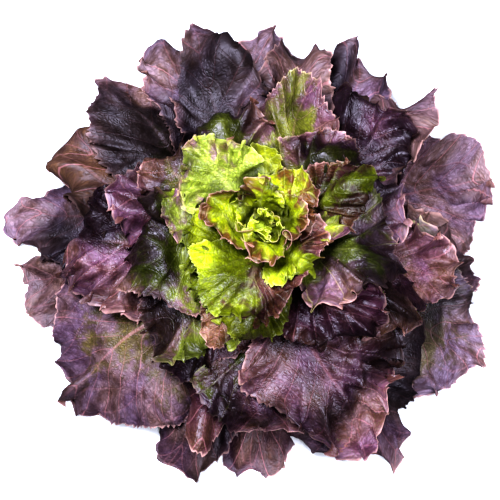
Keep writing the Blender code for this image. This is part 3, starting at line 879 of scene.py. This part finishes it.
def make_blade(name, surface, material):
    """A closed thin blade, with its measures kept as attributes for the material."""
    blade = Blade(surface)
    upper = warped(blade.shape())
    normals = vertex_normals(upper, blade.faces)
    if normals[:, 2].mean() < 0:
        blade.faces = [f[::-1] for f in blade.faces]
        blade.margin = [(j, i) for i, j in blade.margin]
        normals = -normals
    lower = upper - normals * blade_thickness(blade.form, blade.u, blade.v)[:, None]
    lower[:, 2] = np.maximum(lower[:, 2], FLOOR_GAP / 2)
    count = len(upper)
    faces = blade.faces + [[i + count for i in f[::-1]] for f in blade.faces]
    faces += [(j, i, i + count, j + count) for i, j in blade.margin]
    piece = add_piece("fine_" + name, np.concatenate([upper, lower]).tolist(), faces, material, 75)
    leaf, side, alike = blade.leaf, np.repeat([0.0, 1.0], count), np.ones(2 * count)
    measures = blade.x, blade.y, blade.vein, blade.tie, blade.u, blade.inset, blade.sky
    x, y, vein, tie, u, inset, sky, redness = np.tile([*measures, blade.redness()], 2)
    keep_attribute(piece.data, "leaf_place", x, y, side)
    keep_attribute(piece.data, "leaf_vein", vein, tie, u)
    keep_attribute(piece.data, "leaf_tone_and_sky", redness, inset, sky)
    look = (value * alike for value in (leaf.warm, leaf.fresh, leaf.pale))
    keep_attribute(piece.data, "leaf_look", *look)
    return piece


class Shading:
    """Short calls for building a material's nodes."""

    def __init__(self, name):
        self.material = bpy.data.materials.new(name)
        self.material.use_nodes = True
        self.tree = self.material.node_tree

    def link(self, value, socket):
        """Joins a socket to another, or sets it to a number or colour."""
        if isinstance(value, bpy.types.NodeSocket):
            self.tree.links.new(value, socket)
        elif isinstance(value, tuple) and len(value) == 3 and len(socket.default_value) == 4:
            socket.default_value = (*value, 1)
        else:
            socket.default_value = value

    def node(self, kind, inputs, **settings):
        """A new node with its settings, and its inputs by name or number."""
        made = self.tree.nodes.new(kind)
        for key, value in settings.items():
            setattr(made, key, value)
        for key, value in inputs.items():
            self.link(value, made.inputs[key])
        return made

    def finished(self, inputs):
        """The material, with these inputs of its shader."""
        shader = self.tree.nodes["Principled BSDF"]
        for key, value in inputs.items():
            self.link(value, shader.inputs[key])
        return self.material

    def math(self, operation, *values, clamp=False):
        inputs = dict(enumerate(values))
        return self.node("ShaderNodeMath", inputs, operation=operation, use_clamp=clamp).outputs[0]

    def times(self, one, other):
        return self.math("MULTIPLY", one, other)

    def plus(self, one, other):
        return self.math("ADD", one, other)

    def inverse(self, value):
        """1 less a value."""
        return self.math("SUBTRACT", 1.0, value)

    def ramp(self, value, low, high, start=0.0, end=1.0):
        """An even smooth step of a value, from start at low to end at high."""
        inputs = {"Value": value, "From Min": low, "From Max": high, "To Min": start, "To Max": end}
        made = self.node("ShaderNodeMapRange", inputs, interpolation_type="SMOOTHSTEP")
        return made.outputs["Result"]

    def mix(self, share, one, other, blend="MIX"):
        inputs = {0: share, 6: one, 7: other}
        settings = {"data_type": "RGBA", "blend_type": blend, "clamp_factor": True}
        return self.node("ShaderNodeMix", inputs, **settings).outputs[2]

    def shaded(self, colour, share):
        """A colour darkened or lightened by a factor."""
        grey = self.node("ShaderNodeCombineColor", {0: share, 1: share, 2: share})
        return self.mix(1.0, colour, grey.outputs[0], "MULTIPLY")

    def apart(self, vector):
        """The three values of a vector."""
        return self.node("ShaderNodeSeparateXYZ", {0: vector}).outputs

    def split(self, name):
        """The three values of an attribute."""
        settings = {"attribute_name": name, "attribute_type": "GEOMETRY"}
        return self.apart(self.node("ShaderNodeAttribute", {}, **settings).outputs["Vector"])

    def noise(self, vector, scale, detail=3.0, roughness=0.55):
        inputs = {"Vector": vector, "Scale": scale, "Detail": detail, "Roughness": roughness}
        return self.node("ShaderNodeTexNoise", inputs, noise_dimensions="3D").outputs["Fac"]

    def line(self, count, gap, width):
        """1 on lines of the given width where a count passes a half, a gap apart."""
        off = self.math("ABSOLUTE", self.math("SUBTRACT", self.math("FRACT", count), 0.5))
        return self.inverse(self.ramp(self.times(off, gap), self.times(width, 0.35), width))

    def wandering(self, vector, scale, reach):
        """Places moved aside in the blade's plane by soft noise."""
        inputs = {"Vector": vector, "Scale": scale}
        warp = self.node("ShaderNodeTexNoise", inputs, noise_dimensions="3D")
        inputs = {0: warp.outputs["Color"], 1: (reach, reach, 0.0), 2: vector}
        return self.node("ShaderNodeVectorMath", inputs, operation="MULTIPLY_ADD").outputs[0]

    def cells(self, vector, scale):
        """Distance to the walls of a net of cells."""
        inputs = {"Vector": vector, "Scale": scale, "Randomness": 0.9}
        settings = {"feature": "DISTANCE_TO_EDGE", "voronoi_dimensions": "3D"}
        return self.node("ShaderNodeTexVoronoi", inputs, **settings).outputs["Distance"]

    def bump(self, height, strength, distance):
        inputs = {"Height": height, "Strength": strength, "Distance": distance}
        return self.node("ShaderNodeBump", inputs).outputs[0]


def leaf_material(kind):
    """The finish of one kind of leaf, from the measures kept on its blades."""
    s = Shading(kind + " leaf finish")
    x, y, side = s.split("leaf_place")
    vein, tie, u = s.split("leaf_vein")
    red, inset, sky = s.split("leaf_tone_and_sky")
    warm, fresh, pale = s.split("leaf_look")

    # Noise over the blade, moved on by its warmth so that leaves differ.
    place = s.node("ShaderNodeCombineXYZ", {0: x, 1: y, 2: s.times(warm, 40.0)}).outputs[0]
    broad = s.noise(place, 0.045, 4.0)
    small = s.noise(place, 0.22, 4.0, 0.6)
    grain = s.noise(place, 1.4, 3.0, 0.6)

    # 1 on the midrib, the side veins, their forks, the ties and the finest net.
    mid_off = s.math("ABSOLUTE", x)
    outward = s.math("DIVIDE", mid_off, HALF_WIDTH_MM)
    gap = SIDE_VEIN_GAP[kind]
    side_mask = s.line(vein, gap, s.ramp(outward, 0.0, 1.0, 0.62, 0.24))
    fork_mask = s.times(s.line(s.times(vein, 2.0), gap / 2, 0.40), s.ramp(outward, 0.25, 0.6))
    tie_mask = s.line(s.plus(tie, 0.5), TIE_GAP[kind], 0.38)
    mid_width = s.ramp(u, 0.2, 1.0, 2.6, 0.35)
    mid_mask = s.inverse(s.ramp(mid_off, s.times(mid_width, 0.45), mid_width))
    net = s.cells(s.wandering(place, 0.22, 3.0), 0.50)
    net_mask = s.inverse(s.ramp(net, 0.015, 0.09))

    # Where the blade is red.
    level = s.plus(red, s.times(s.math("SUBTRACT", broad, 0.5), 0.9))
    level = s.plus(level, s.times(s.math("SUBTRACT", small, 0.5), 0.8))
    red_share = s.ramp(level, 0.28, 0.64)

    # The red and the green part, varied in tone by noise, with painted shade on the sunken walls of
    # the net and painted light on its puffed cells.
    warmer = s.math("ADD", warm, s.ramp(broad, 0.32, 0.68, -0.45, 0.50), clamp=True)
    purple = s.shaded(s.mix(warmer, PURPLE[kind], BROWN[kind]), s.ramp(pale, 0.0, 0.7, 0.52, 1.0))
    # Lilac bloom over the red part in patches: partly waxy bloom, partly a painted sheen.
    purple = s.mix(s.times(pale, s.ramp(small, 0.35, 0.65, 0.14, 0.50)), purple, BLOOM_AND_PAINTED_SHEEN)
    green = s.mix(s.ramp(fresh, 0.10, 0.65), OLIVE, GREEN)
    green = s.mix(s.ramp(fresh, 0.65, 1.0), green, YELLOW_GREEN)
    green = s.mix(s.times(pale, 0.40), green, s.mix(s.ramp(fresh, 0.2, 0.6), GREY_GREEN, MINT))
    blade = s.mix(red_share, green, purple)
    blade = s.shaded(blade, s.ramp(small, 0.25, 0.75, 0.52, 1.38))
    # Painted shade on the sunken walls of the net, painted light on its puffed cells.
    blade = s.shaded(blade, s.ramp(net, 0.0, 0.30, 0.72, 1.14))
    blade = s.shaded(blade, s.ramp(grain, 0.30, 0.70, 0.80, 1.20))

    # Veins, the pale rim, the underside, and painted shade in the gaps between leaves.
    pale_vein = s.mix(s.ramp(fresh, 0.3, 0.7), PINK, PALE_GREEN)
    vein_colour = s.mix(s.ramp(level, 0.45, 1.0), pale_vein, PINK)
    side_share = s.times(side_mask, SIDE_VEIN_SHARE[kind])
    vein_share = s.math("MAXIMUM", side_share, s.times(fork_mask, 0.16))
    vein_share = s.times(vein_share, s.ramp(broad, 0.35, 0.6, 0.35, 1.0))
    mid_share = s.times(mid_mask, s.ramp(u, 0.4, 0.85, 0.40, 0.15))
    net_share = s.math("MAXIMUM", s.times(tie_mask, 0.10), s.times(net_mask, 0.04))
    vein_share = s.math("MAXIMUM", s.math("MAXIMUM", mid_share, vein_share), net_share)
    blade = s.mix(vein_share, blade, vein_colour)
    rim_share = s.times(s.inverse(s.ramp(inset, *RIM[kind])), s.ramp(small, 0.35, 0.65, 0.25, 0.75))
    blade = s.mix(rim_share, blade, s.mix(red_share, PALE_GREEN, RIM_PINK))
    below = s.mix(red_share, s.mix(0.35, green, PALE_GREEN), s.mix(0.18, BROWN[kind], PINK))
    blade = s.mix(s.times(side, 0.45), blade, below)
    # Painted shade: the colour darkens where the blade sees little sky, in the gaps between leaves.
    blade = s.shaded(blade, s.ramp(sky, 0.0, 0.60, DEEPEST_PAINTED_SHADE[kind], 1.0))

    relief = s.plus(s.times(s.ramp(net, 0.0, 0.35), 0.26), s.times(side_mask, -0.20))
    relief = s.plus(relief, s.times(s.math("MAXIMUM", fork_mask, tie_mask), -0.14))
    return s.finished({
        "Base Color": blade,
        "Roughness": s.ramp(small, 0.2, 0.8, *ROUGHNESS[kind]),
        "Normal": s.bump(s.plus(relief, s.times(grain, 0.02)), 0.8, 1.0 * MM),
        "Specular IOR Level": GLOSS[kind],
        "Specular Tint": TINT[kind],
        "Subsurface Weight": UNDER_SKIN[kind],
        "Subsurface Radius": (0.6, 1.0, 0.2),
        "Subsurface Scale": 2 * MM,
    })


def stem_material():
    """Pale green flesh, browned in spots and greener towards the bud."""
    s = Shading("stem finish")
    place = s.node("ShaderNodeTexCoord", {}).outputs["Object"]
    broad = s.noise(place, 60.0, 4.0)
    fine = s.noise(place, 420.0, 3.0)
    colour = s.mix(s.ramp(broad, 0.3, 0.7), FLESH, PALE_FLESH)
    colour = s.mix(s.ramp(fine, 0.45, 0.75, 0.0, 0.35), colour, CUT_BROWN)
    colour = s.mix(s.ramp(s.apart(place)[2], 60 * MM, 74 * MM), colour, SHOOT_GREEN)
    roughness = s.ramp(fine, 0.2, 0.8, 0.4, 0.6)
    normal = s.bump(fine, 0.5, 0.5 * MM)
    return s.finished({"Base Color": colour, "Roughness": roughness, "Normal": normal})


def make_stem():
    """The stem, turned from its outline, with leaf scars as low ridges."""
    sides, steps = 72, 60
    radii, heights = (np.array([p[k] for p in STEM_OUTLINE[:-1]], float) for k in (0, 1))
    share = np.linspace(0, 1, len(radii))
    fine = np.linspace(0, 1, steps)
    radius, height = np.interp(fine, share, radii), np.interp(fine, share, heights)
    turn = np.linspace(0, 2 * math.pi, sides, endpoint=False)
    points = []
    for r, h in zip(radius, height):
        scar = 0.25 * np.sin(5 * turn + 0.35 * h) + 0.15 * np.sin(11 * turn - 0.5 * h)
        ring = np.maximum(r - 0.45 + scar * (r > 4), 0.05)
        places = zip(ring * np.cos(turn), ring * np.sin(turn))
        points += [(x * MM, y * MM, h * MM) for x, y in places]
    faces = []
    for row in range(steps - 1):
        for k in range(sides):
            here, onward = row * sides + k, row * sides + (k + 1) % sides
            faces.append((here, here + sides, onward + sides, onward))
    faces.append(tuple(range(sides)))
    faces.append(tuple(range((steps - 1) * sides, steps * sides))[::-1])
    return add_piece("fine_stem", points, faces, stem_material(), 50)


def make_floor():
    """The plain pale floor, kept out of the leaves' gloss."""
    bpy.ops.mesh.primitive_plane_add(size=6, location=(0, 0, 0))
    floor = bpy.context.object
    floor.name = "floor"
    floor.visible_glossy = False
    floor.data.materials.append(Shading("floor").finished({
        "Base Color": (0.60, 0.62, 0.68),
        "Roughness": 0.6,
        "Specular IOR Level": 0.2,
        "Emission Color": (0.97, 0.98, 1.0),
        "Emission Strength": 0.12,
    }))


def make_light(name, place, size, power, colour):
    """A soft square light that shines at the head."""
    light = bpy.data.objects.new(name, bpy.data.lights.new(name, "AREA"))
    light.data.energy = power
    light.data.size = size
    light.data.color = colour
    light.location = place
    light.rotation_mode = "QUATERNION"
    light.rotation_quaternion = (-Vector(place)).to_track_quat("-Z", "Y")
    bpy.context.scene.collection.objects.link(light)


def make_camera():
    """The photograph's view, from high in front of the head."""
    back = Vector((0, -math.cos(CAMERA_ELEVATION), math.sin(CAMERA_ELEVATION)))
    camera = bpy.data.objects.new("camera", bpy.data.cameras.new("camera"))
    camera.location = CAMERA_TARGET + back * CAMERA_DISTANCE
    camera.rotation_mode = "QUATERNION"
    camera.rotation_quaternion = (-back).to_track_quat("-Z", "Y")
    camera.data.sensor_width = SENSOR_MM
    camera.data.lens = SENSOR_MM * (CAMERA_DISTANCE - 0.02) / CAMERA_VIEW_WIDTH
    bpy.context.scene.collection.objects.link(camera)
    bpy.context.scene.camera = camera


def make_room():
    """Soft studio light from the room, and the contrast of the photograph."""
    scene = bpy.context.scene
    world = bpy.data.worlds.new("studio")
    scene.world = world
    world.use_nodes = True
    world.node_tree.nodes["Background"].inputs["Color"].default_value = (0.95, 0.93, 1.0, 1)
    world.node_tree.nodes["Background"].inputs["Strength"].default_value = ROOM_LIGHT
    scene.view_settings.view_transform = "Standard"
    scene.view_settings.look = "High Contrast"


def main():
    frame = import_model()
    make_camera()
    make_floor()
    make_room()
    make_light("softbox", (-0.34, 0.18, 1.10), 0.50, 33.5, (0.88, 0.90, 1.0))
    make_light("fill", (0.46, -0.34, 0.96), 0.50, 15, (0.90, 0.91, 1.0))

    stem = make_stem()
    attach(stem, "root")
    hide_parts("stem")
    materials = {kind: leaf_material(kind) for kind in KINDS}
    for name, surface in surfaces_of(frame).items():
        kind = surface.form.leaf.kind
        leaf = make_blade(name, surface, materials[kind])
        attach(leaf, "root")
        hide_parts(name)


main()
